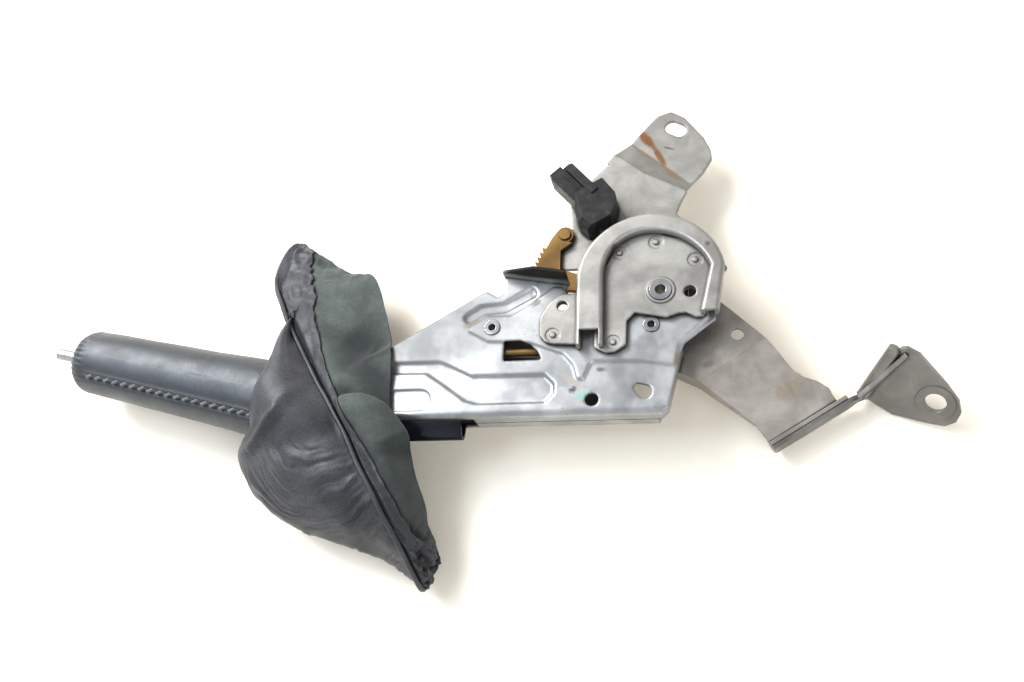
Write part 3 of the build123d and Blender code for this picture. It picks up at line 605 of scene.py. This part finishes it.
def stitch_tree():
    # Geometry nodes that lay one arched thread after another along the seam, a pitch apart.
    tree = bpy.data.node_groups.new("whip_stitches", "GeometryNodeTree")
    for name, kind in (("Seam", "Geometry"), ("Pitch", "Float"), ("Thread radius", "Float"),
                       ("Start", "Vector"), ("Crown", "Vector"), ("End", "Vector"), ("Thread", "Material")):
        tree.interface.new_socket(name=name, in_out="INPUT", socket_type="NodeSocket" + kind)
    tree.interface.new_socket(name="Stitches", in_out="OUTPUT", socket_type="NodeSocketGeometry")
    given = put(tree, "NodeGroupInput").outputs
    line = put(tree, "GeometryNodeMeshToCurve", {"Mesh": given["Seam"]})
    even = put(tree, "GeometryNodeResampleCurve", {"Curve": line.outputs["Curve"], "Length": given["Pitch"]},
               mode="LENGTH")
    arch = put(tree, "GeometryNodeCurveQuadraticBezier", {"Resolution": arch_steps, "Start": given["Start"],
                                                          "Middle": given["Crown"], "End": given["End"]})
    ring = put(tree, "GeometryNodeCurvePrimitiveCircle", {"Resolution": thread_sides,
                                                          "Radius": given["Thread radius"]})
    thread = put(tree, "GeometryNodeCurveToMesh", {"Curve": arch.outputs["Curve"], "Fill Caps": True,
                                                   "Profile Curve": ring.outputs["Curve"]})
    spread = put(tree, "GeometryNodeInstanceOnPoints", {"Points": even.outputs["Curve"],
                                                        "Instance": thread.outputs["Mesh"]})
    real = put(tree, "GeometryNodeRealizeInstances", {"Geometry": spread.outputs["Instances"]})
    dyed = put(tree, "GeometryNodeSetMaterial", {"Geometry": real.outputs["Geometry"],
                                                 "Material": given["Thread"]})
    put(tree, "NodeGroupOutput", {"Stitches": dyed.outputs["Geometry"]})
    return tree


def seam_line():
    points = [grip_point(d, grip_radius(d) + seam_rise, seam_angle) for d in seam_stops]
    made = bpy.data.meshes.new("seam_line")
    made.from_pydata(points, [(i, i + 1) for i in range(len(points) - 1)], [])
    return made


def made_real(source, name, material):
    # The plain mesh of an object with its modifiers, as a new object.
    graph = bpy.context.evaluated_depsgraph_get()
    mesh = bpy.data.meshes.new_from_object(source.evaluated_get(graph))
    made = add_piece(name, mesh, material)
    bpy.data.objects.remove(source)
    return made


thread = thread_material()
seam = bpy.data.objects.new("seam_guide", seam_line())
bpy.context.scene.collection.objects.link(seam)
whip = stitch_tree()
sewing = seam.modifiers.new("sewing", "NODES")
sewing.node_group = whip
seam_out = Vector((0, 0, 1)) * cos(seam_angle) + grip_side * sin(seam_angle)
seam_over = Vector((0, 0, -1)) * sin(seam_angle) + grip_side * cos(seam_angle)
slant = grip_out * -stitch_lean * mm
under = seam_out * stitch_root * mm
for name, value in (("Pitch", stitch_pitch * mm), ("Thread radius", thread_r * mm),
                    ("Start", slant - seam_over * stitch_reach * mm - under),
                    ("Crown", seam_out * stitch_crown * mm),
                    ("End", -slant + seam_over * stitch_reach * mm - under), ("Thread", thread)):
    set_input(sewing, whip, name, value)
stitches = made_real(seam, "grip_stitches", thread)
stitches.data.polygons.foreach_set("use_smooth", [True] * len(stitches.data.polygons))
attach(stitches, "lever")

# Boot
# A sleeve of soft thin leather, tied at the grip and sewn to the piping of its mouth. It lies slumped on the
# bench, with a lobe folded forward under the grip and bands of creases running round it.

boot_shades = (((-178.0, -68.0, 10.0), (34.0, 17.0, 24.0), -8.0, 0.8),
               ((-150.0, -106.0, 0.0), (26.0, 14.0, 24.0), -20.0, 0.5))
boot_hide = grain_leather("boot_leather", dark=(0.062, 0.061, 0.065), light=(0.112, 0.111, 0.117),
                          rough=0.47, cell=1.3, depth=0.3, sheen=0.14, shades=boot_shades)

# The mouth in mm: from its upper tip over the top side to the lower tip, then back underneath. The neck is a
# circle round the grip, and top_steps of the points lie on the top side.
rim_points = [(-207.6, 51.4, -14.0), (-212.9, 44.4, -11.0), (-215.4, 30.5, -8.0), (-212.5, 18.7, -3.0),
              (-206.6, 7.5, 1.0), (-199.3, -6.4, 5.0), (-187.9, -24.5, 10.0), (-176.0, -43.7, 14.0),
              (-170.2, -52.1, 15.5), (-164.8, -60.6, 16.3), (-159.4, -68.9, 17.0), (-154.3, -78.4, 17.0),
              (-149.3, -88.6, 16.5), (-142.4, -100.1, 15.5), (-136.1, -112.0, 13.0),
              (-131.0, -120.9, 9.0), (-126.4, -130.4, 3.0), (-123.6, -137.6, -5.0),
              (-121.1, -143.8, -14.0), (-121.5, -140.0, -22.0), (-126.0, -126.0, -26.5),
              (-136.0, -104.0, -27.2), (-147.0, -80.0, -27.2), (-158.0, -56.0, -27.2),
              (-170.0, -34.0, -27.2), (-181.0, -12.0, -27.2), (-191.0, 8.0, -27.0), (-200.0, 27.0, -26.0),
              (-206.0, 42.0, -22.0)]
top_steps = 18
neck_at = Vector((-207.0, -47.5, 0.0))
neck_across = Vector((0.232, 0.973, 0.0))
neck_r = 22.0
table_clear = -28.8
upper_share = 0.68


def through(points, t, closed=True):
    # A point on the smooth curve through the given points, at a share t of the way along them.
    count = len(points)
    spot = t * (count if closed else count - 1)
    i = int(spot) if closed else min(int(spot), count - 2)
    f = spot - i

    def at(k):
        return Vector(points[k % count] if closed else points[min(max(k, 0), count - 1)])

    a, b, c, d = at(i - 1), at(i), at(i + 1), at(i + 2)
    square = 2 * a - 5 * b + 4 * c - d
    cube = 3 * b - a - 3 * c + d
    return 0.5 * (2 * b + (c - a) * f + square * f ** 2 + cube * f ** 3)


def round_edge(points, u):
    # u runs from the upper tip (0) over the top to the lower tip (0.5) and back underneath.
    low_steps = len(points) - top_steps
    t = u * 2 * top_steps if u < 0.5 else top_steps + (u - 0.5) * 2 * low_steps
    return through(points, t / len(points) % 1.0)


def rim_at(u):
    return round_edge(rim_points, u)


def neck_circle(u):
    angle = 2 * pi * u
    return neck_at + (neck_across * cos(angle) + Vector((0, 0, 1)) * sin(angle)) * neck_r


# How far the skin bulges between neck and mouth, at its lower and its upper end. A higher focus keeps the
# bulge closer to its end.
lobe_low = [(0, 0, 0), (-25, 2, -4), (-28, -6, -4), (-20, -9, -3), (-11, -4, -1), (-4, 1, 0), (0, 0, 0)]
lobe_high = [(0, 0, 0), (2, 5, 2), (8, 4, 3), (11, 1, 0), (10, -2, -4), (5, -3, -3), (0, 0, 0)]
lobe_low_focus = 2.6
lobe_high_focus = 1.6
boot_belly = 5.0
crease_fade = 0.12
lap_starts = 0.12
lap_ends = 0.86


def boot_point(u, v):
    # v runs from the neck (0) to the mouth (1).
    point = neck_circle(u).lerp(rim_at(u), v)
    low = max(0.0, -cos(2 * pi * u)) ** lobe_low_focus
    high = max(0.0, cos(2 * pi * u)) ** lobe_high_focus
    point += through(lobe_low, v, closed=False) * low + through(lobe_high, v, closed=False) * high
    up = max(0.0, sin(2 * pi * u))
    point.z += boot_belly * up * sin(pi * v)
    return point


def crease(point, start, end, width):
    # 1 on the line from start to end in plan, falling to 0 at the width.
    a, b = Vector(start), Vector(end)
    p = Vector(point[:2])
    t = min(max((p - a).dot(b - a) / (b - a).length_squared, 0.0), 1.0)
    gap = (p - a.lerp(b, t)).length
    along = crease_fade + (1 - 2 * crease_fade) * t
    return np.exp(-(gap / width) ** 2) * (sin(pi * along) ** 0.6)


# Each fold is a line from start to end in plan, its width and its height.
boot_folds = [((-219, -79), (-206, -76), 2.6, 1.8), ((-209, -76), (-193, -61), 2.6, 3.2),
              ((-196, -62), (-186, -50), 5.0, 1.6), ((-203, -36), (-196, -60), 7.0, 1.4),
              ((-190, -32), (-176, -56), 6.0, -1.2)]
lobe_edge = [(-216, -79.0), (-205, -81.2), (-196, -82.6), (-186, -83.0), (-176, -81.6), (-168, -78.2),
             (-161, -73.4), (-155, -67.0), (-150, -59.0)]
fold_centre = (-172.0, -66.0)

# The creases of the lobe run round the fold's centre. Each band has a height, how close its creases lie, how
# they change round the centre and a seed. Each warp has a height, how close it lies and a seed.
crease_bands = ((1.0, 0.30, 1.3, 0.5), (0.60, 0.75, 2.2, 7.5), (0.35, 1.15, 2.6, 3.5))
crease_warps = ((4.0, 0.045, 1.0), (1.4, 0.13, 6.0))
crease_height = 0.95
lobe_from_y = -74.0
lobe_full_y = -86.0
swell_height = 0.9
ripple_height = 0.16


def lap(point, line, rise, dip, sharp, reach, run_in):
    # Height beside a line in plan. On its left the skin sinks to the dip over the run-in, then it steps up
    # to the rise on the right, which dies out over the reach.
    p = Vector(point[:2])
    nearest, offset, along = max(reach, run_in), 0.0, 0.0
    for i, (start, end) in enumerate(zip(line, line[1:])):
        a, b = Vector(start), Vector(end)
        t = min(max((p - a).dot(b - a) / (b - a).length_squared, 0.0), 1.0)
        off = p - a.lerp(b, t)
        if off.length < nearest:
            nearest = off.length
            offset = nearest if (b - a).x * off.y < (b - a).y * off.x else -nearest
            along = (i + t) / (len(line) - 1)
    if nearest >= max(reach, run_in):
        return 0.0
    share = smooth(-sharp, sharp, offset)
    low = -dip * smooth(-run_in, 0.0, offset)
    high = rise * smooth(reach, 0.2 * reach, offset)
    ends = smooth(0.0, lap_starts, along) * smooth(1.0, lap_ends, along)
    return ends * (low * (1 - share) + high * share)


def boot_relief(point, u, v):
    # The cone over the grip is smooth. The lobe below it has fine creases that run parallel to its outline.
    top = max(0.0, sin(2 * pi * u)) ** 0.5
    edge = smooth(0.0, 0.10, v) * smooth(1.0, 0.90, v)
    low = smooth(lobe_from_y, lobe_full_y, point.y)
    out = hypot(point.x - fold_centre[0], point.y - fold_centre[1])
    around = atan2(point.y - fold_centre[1], point.x - fold_centre[0])
    for height, close, seed in crease_warps:
        out += height * noise.noise(Vector((point.x * close, point.y * close, seed)))
    rings = 0.0
    for height, close, turns, seed in crease_bands:
        rings += height * noise.noise(Vector((out * close, around * turns, seed)))
    relief = edge * low * rings * crease_height
    if top > 0:
        relief += top * edge * lap(point, lobe_edge, rise=0.0, dip=1.6, sharp=6.0, reach=20.0, run_in=28.0)
    relief += edge * swell_height * noise.noise(point * 0.035 + Vector((2, 5, 1)))
    relief += edge * ripple_height * noise.noise(point * 0.16)
    for start, end, width, height in boot_folds:
        relief += top * edge * height * crease(point, start, end, width)
    return relief


def soft_skin(name, place_at, relief_at, columns, rows, material, thickness, settle=None):
    # A soft tube: rows of rings from v 0 to v 1, moved along their normals by the relief, with a real
    # thickness. The upper side, which has the creases, gets more than half of the columns.
    around = [0.5 * (j / columns) / upper_share if j < columns * upper_share
              else 1.0 - 0.5 * (1 - j / columns) / (1 - upper_share) for j in range(columns)]
    plain = [[place_at(u, i / (rows - 1)) for u in around] for i in range(rows)]
    rings = []
    for i in range(rows):
        ring = []
        for j in range(columns):
            here = plain[i][j]
            along_u = plain[i][(j + 1) % columns] - plain[i][j - 1]
            along_v = plain[min(i + 1, rows - 1)][j] - plain[max(i - 1, 0)][j]
            normal = along_u.cross(along_v)
            normal.normalize()
            moved = here + normal * relief_at(here, around[j], i / (rows - 1))
            if settle:
                moved = settle(moved, around[j])
            moved.z = max(moved.z, table_clear)
            ring.append(moved * mm)
        rings.append(ring)
    mesh = ring_mesh(name + "_skin", rings, close_rows=False)
    skin = add_piece(name + "_skin", mesh, material)
    wall = skin.modifiers.new("thickness", "SOLIDIFY")
    wall.thickness = thickness * mm
    wall.offset = -1.0
    made = made_real(skin, name, material)
    outward(made.data)
    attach(made, "lever")
    return made


def outward_sign(place_at, relief_at, centre):
    # The relief counts outwards: its sign is turned when the skin's normals point inwards.
    u, v, step = 0.25, 0.5, 0.02
    a, b, c = place_at(u, v), place_at(u + step, v), place_at(u, v + step)
    inwards = (b - a).cross(c - a).dot(a - Vector(centre)) < 0
    return (lambda p, u, v: -relief_at(p, u, v)) if inwards else relief_at


boot_out = outward_sign(boot_point, boot_relief, (-185, -60, -5))
boot = soft_skin("boot_sleeve", boot_point, boot_out, columns=320, rows=152, material=boot_hide,
                 thickness=1.6)
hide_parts("boot_leather")

# Skirt
# Grey-green lining cloth sewn inside the mouth, which hangs out over the neck of the blade. It buckles
# across its middle and its edges are crumpled.

cloth_dark = (0.075, 0.087, 0.081)
cloth_light = (0.145, 0.165, 0.153)
# The next two colours are painted shade: in the cloth's folds and in its placed patches.
cloth_fold_shade = (0.012, 0.014, 0.014)
cloth_shade = (0.026, 0.029, 0.030)
cloth_nap = (0.02, 0.022, 0.022)
cloth_fold_shade_reach = 12.0
# Patches of painted shade on the skirt: in its hollow and valley above the buckle, over its lower lobe and
# near its upper tip.
cloth_shades = (((-157.0, -24.0, 8.0), (28.0, 26.0, 24.0), -10.0, 0.95),
                ((-146.0, -43.0, 13.0), (24.0, 15.0, 18.0), -38.0, 0.7),
                ((-134.0, -88.0, 4.0), (40.0, 62.0, 34.0), 20.0, 0.55),
                ((-202.0, 47.0, -12.0), (13.0, 8.0, 14.0), -30.0, 0.8))


def lining_cloth():
    # Felted cloth with a short nap, with painted shade in its folds from ambient occlusion, and painted
    # shade where a patch of it is placed.
    made, tree, shader = new_material("lining_cloth")
    there = place(tree)
    tone = cloud(tree, there, scale=26.0, detail=6.0, roughness=0.62, distortion=0.3)
    colour = mixed(tree, ranged(tree, tone, 0.35, 0.7), cloth_dark, cloth_light)
    # Painted shade: ambient occlusion darkens the cloth in its folds.
    hidden = put(tree, "ShaderNodeAmbientOcclusion", {"Distance": cloth_fold_shade_reach * mm}, samples=8)
    colour = mixed(tree, ranged(tree, hidden.outputs["AO"], 0.95, 0.4, to_high=0.75), colour, cloth_fold_shade)
    for at, reach, turn, amount in cloth_shades:
        shade = stain_and_shade_patch(tree, at, reach, turn, shade_ragged, amount, shade_full)
        colour = mixed(tree, shade, colour, cloth_shade)
    nap = cloud(tree, there, scale=1300.0, detail=3.0)
    colour = mixed(tree, ranged(tree, nap, 0.3, 0.7, to_high=0.3), colour, cloth_nap)
    tree.links.new(colour, shader.inputs["Base Color"])
    shader.inputs["Roughness"].default_value = 0.9
    shader.inputs["Sheen Weight"].default_value = 0.25
    height = times(tree, nap, cloud(tree, there, scale=260.0), "ADD")
    bump = put(tree, "ShaderNodeBump", {"Strength": 0.5, "Distance": 0.25 * mm, "Height": height})
    tree.links.new(bump.outputs["Normal"], shader.inputs["Normal"])
    return made


cloth = lining_cloth()

# The free edge of the skirt in mm, point by point beside the mouth, and its folds, as those of the boot.
free_points = [(-203.8, 50.5, -14.0), (-195.2, 45.2, -12.0), (-188.8, 41.0, -12.0), (-174.0, 30.4, -10.0),
               (-161.4, 27.6, -8.0), (-155.3, 20.9, -5.0), (-148.9, 5.2, 0.0), (-141.2, -15.9, 8.0),
               (-138.2, -30.9, 13.2), (-137.2, -45.9, 13.8), (-135.6, -57.9, 14.2), (-130.2, -66.5, 14.0),
               (-126.1, -73.3, 12.0), (-122.4, -91.2, 6.0), (-117.5, -107.7, -1.0),
               (-117.2, -114.6, -6.0), (-112.5, -126.4, -12.0), (-115.8, -134.9, -17.0),
               (-119.4, -141.7, -18.0), (-119.5, -139.0, -22.5), (-123.0, -131.0, -26.0),
               (-128.0, -112.0, -27.0), (-136.0, -88.0, -27.0), (-142.0, -64.0, -27.0),
               (-147.0, -42.0, -27.0), (-153.0, -20.0, -26.5), (-154.0, 0.0, -25.5),
               (-168.0, 18.0, -22.5), (-188.0, 34.0, -18.0)]
skirt_folds = [((-168, -16), (-150, -22), 8.5, -6.5), ((-160, -36), (-139, -48), 5.5, -3.6),
               ((-186, -4), (-165, -43), 5.0, 3.0), ((-180, 20), (-160, 8), 6.0, 1.4),
               ((-149, -77), (-129, -112), 2.6, -1.8), ((-143, -76), (-124, -108), 2.8, 1.4),
               ((-196, 38), (-184, 34), 2.6, -3.2), ((-186, 32), (-168, 24), 3.0, 1.6),
               ((-126, -116), (-116, -124), 2.2, -2.6), ((-122, -128), (-116, -133), 2.0, -2.2)]
cloth_edge = [(-166, -54.0), (-158, -52.0), (-150, -51.8), (-144, -53.6), (-138, -57.4), (-132, -63.2),
              (-127, -70.0), (-123, -78.0)]

# The cloth lies on the blade below the line of the blade's upper edge, and eases onto it over these ranges.
neck_edge = ((-172.0, -43.5), (-92.0, 4.5))
over_blade = 12.6
blade_from_x = -174.0
blade_ease = (-4.0, 1.5)
blade_low_ease = (-76.0, -69.0)
sewn_ahead = (1.0, 0.5)
sewn_under_top = -0.7
sewn_over_base = 0.4
skirt_belly = 2.0
wave_height = 1.3
pucker_height = 0.6
crumple_height = 0.15
tip_crumple_height = 1.2
tail_crumple_height = 3.4
tail_crackle_height = 1.6


def skirt_point(u, v):
    # v runs from the mouth (0) to the free edge (1).
    start = rim_at(u) + Vector((*sewn_ahead, sewn_under_top if u < 0.5 else sewn_over_base))
    point = start.lerp(round_edge(free_points, u), v)
    point.z += skirt_belly * max(0.0, sin(2 * pi * u)) * sin(pi * v)
    return point


def skirt_relief(point, u, v):
    # Slow waves, crumpled cloth at both tips, the lap where it buckles and the placed folds.
    top = max(0.0, sin(2 * pi * u)) ** 0.5
    edge = smooth(0.0, 0.08, v)
    near_tip = smooth(0.16, 0.02, u) if u < 0.5 else 0.0
    near_tail = smooth(0.40, 0.46, u) * smooth(0.54, 0.50, u)
    crumple = crumple_height + tip_crumple_height * near_tip + tail_crumple_height * near_tail
    relief = edge * wave_height * noise.noise(point * 0.05 + Vector((3, 3, 3)))
    relief += edge * pucker_height * noise.noise(point * 0.12)
    relief += edge * crumple * noise.noise(point * 0.27)
    relief += edge * tail_crackle_height * near_tail * noise.noise(point * 0.55)
    if top > 0:
        relief += top * edge * lap(point, cloth_edge, rise=6.5, dip=2.5, sharp=1.8, reach=24.0, run_in=12.0)
    for start, end, width, height in skirt_folds:
        relief += top * edge * height * crease(point, start, end, width)
    return relief


def lie_on_blade(point, u):
    # The top layer rests on the blade and doesn't sink into it.
    if u >= 0.5 or point.x < blade_from_x:
        return point
    (x0, y0), (x1, y1) = neck_edge
    inside = y0 + (point.x - x0) * (y1 - y0) / (x1 - x0) - point.y
    share = smooth(*blade_ease, inside) * smooth(*blade_low_ease, point.y)
    lift = max(0.0, over_blade - point.z)
    point.z += share * lift
    return point


cloth_relief = outward_sign(skirt_point, skirt_relief, (-155, -55, -5))
skirt = soft_skin("skirt_cloth", skirt_point, cloth_relief, columns=340, rows=110, material=cloth,
                  thickness=1.1, settle=lie_on_blade)
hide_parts("boot_skirt")

# Hem of the boot
# The boot's leather is turned in over the mouth. Its raw edge lies on the lining, wide at both tips and
# narrow between them.

hem_reach = [(0.0, 0.98), (0.03, 0.85), (0.06, 0.62), (0.085, 0.45), (0.14, 0.27), (0.19, 0.14),
             (0.25, 0.12), (0.30, 0.15), (0.36, 0.26), (0.42, 0.45), (0.45, 0.90), (0.5, 0.97),
             (0.54, 0.9), (0.6, 0.3), (0.9, 0.3), (1.0, 0.98)]
hem_lift = 1.3
hem_ripple = 0.5


def hem_share(u):
    # How much of the skirt's fall the hem covers, with a ragged edge.
    places, shares = zip(*hem_reach)
    ragged = 0.10 * noise.noise(Vector((u * 70.0, 0.0, 2.0)))
    ragged += 0.06 * noise.noise(Vector((u * 190.0, 4.0, 2.0)))
    return float(np.interp(u, places, shares)) * (1 + ragged)


def hem_point(u, v):
    return skirt_point(u, v * hem_share(u))


def hem_relief(point, u, v):
    # It follows the skirt and lies on it, a little rippled.
    under = skirt_relief(point, u, v * hem_share(u))
    return under + hem_lift * smooth(0.0, 0.3, v) + hem_ripple * noise.noise(point * 0.22)


def settle_hem(point, u):
    lift = Vector((0, 0, hem_lift))
    return lie_on_blade(point - lift, u) + lift


hem_out = outward_sign(hem_point, hem_relief, (-155, -55, -5))
hem = soft_skin("mouth_hem", hem_point, hem_out, columns=420, rows=26, material=boot_hide, thickness=0.9,
                settle=settle_hem)

# Piping of the boot's mouth
# A cord covered in the boot's leather, sewn round the mouth between the boot and its skirt. It is a little
# uneven, and its hidden run lies on the bench.

piping_r = 1.3
piping_rows = 320
piping_sides = 14
piping_off = Vector((-0.3, 0.0, 0.5))
piping_level = Vector((0.9, 0.42, 0.1))
piping_uneven = 0.10


def piping_rings():
    # A ring of points round each of many places on the mouth.
    centres = [rim_at(i / piping_rows) + piping_off for i in range(piping_rows)]
    rings = []
    for i, centre in enumerate(centres):
        ahead = (centres[(i + 1) % piping_rows] - centres[i - 1]).normalized()
        side = ahead.cross(piping_level).normalized()
        lift = ahead.cross(side)
        r = piping_r * (1 + piping_uneven * noise.noise(centre * 0.4))
        ring = []
        for j in range(piping_sides):
            angle = 2 * pi * j / piping_sides
            point = centre + (side * cos(angle) + lift * sin(angle)) * r
            point.z = max(point.z, table_clear)
            ring.append(point * mm)
        rings.append(ring)
    return rings


piping_hide = grain_leather("piping_leather", dark=(0.07, 0.07, 0.075), light=(0.13, 0.13, 0.14), rough=0.4,
                            cell=0.8, depth=0.25)
piping = add_piece("mouth_piping", ring_mesh("mouth_piping", piping_rings()), piping_hide)
outward(piping.data)
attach(piping, "lever")
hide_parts("boot_piping")
